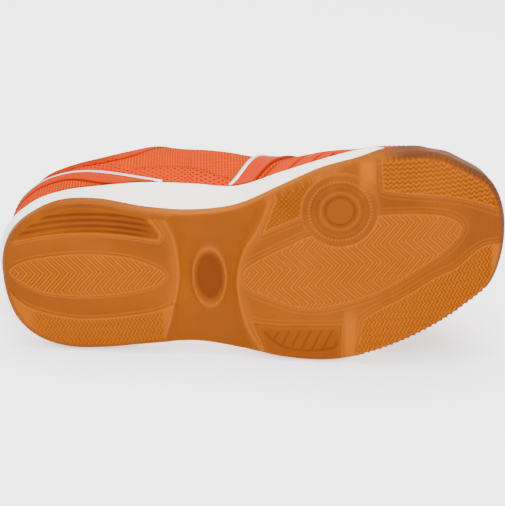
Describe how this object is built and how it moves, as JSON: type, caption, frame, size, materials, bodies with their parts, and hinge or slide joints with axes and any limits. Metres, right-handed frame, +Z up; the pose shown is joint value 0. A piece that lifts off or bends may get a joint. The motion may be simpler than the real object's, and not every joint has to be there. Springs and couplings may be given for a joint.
{
  "type": "athletic shoe",
  "caption": "Low-cut indoor court shoe for the left foot, lying on its outer side: cupped gum outsole, foam midsole, hollow laced fabric upper with overlays, tongue and insole.",
  "frame": {"origin": "bottom centre of the box round the shoe as it lies on its outer side", "axes": "+X from heel to toe along the floor, +Y from the tread towards the collar, +Z up, so the inner side of the shoe is uppermost"},
  "size_m": [0.2286, 0.1098, 0.1026],
  "materials": {
    "gum": "satin translucent gum rubber",
    "foam": "matt moulded foam",
    "mesh": "woven mesh",
    "synthetic": "smooth synthetic leather",
    "lining": "brushed lining cloth",
    "sock": "knitted sock cloth",
    "lace": "flat woven lace"
  },
  "bodies": {
    "root": {"outsole": "gum", "midsole": "foam", "insole": "sock", "upper": "mesh", "tongue": "lining", "eyestay": "synthetic", "heel_counter": "synthetic", "toe_guard": "synthetic", "quarter_strap_inner": "synthetic", "quarter_strap_outer": "synthetic", "lace_bar": "lace", "lace_crossing_1": "lace", "lace_crossing_2": "lace", "lace_crossing_3": "lace", "lace_crossing_4": "lace", "lace_crossing_5": "lace"}
  },
  "joints": []
}
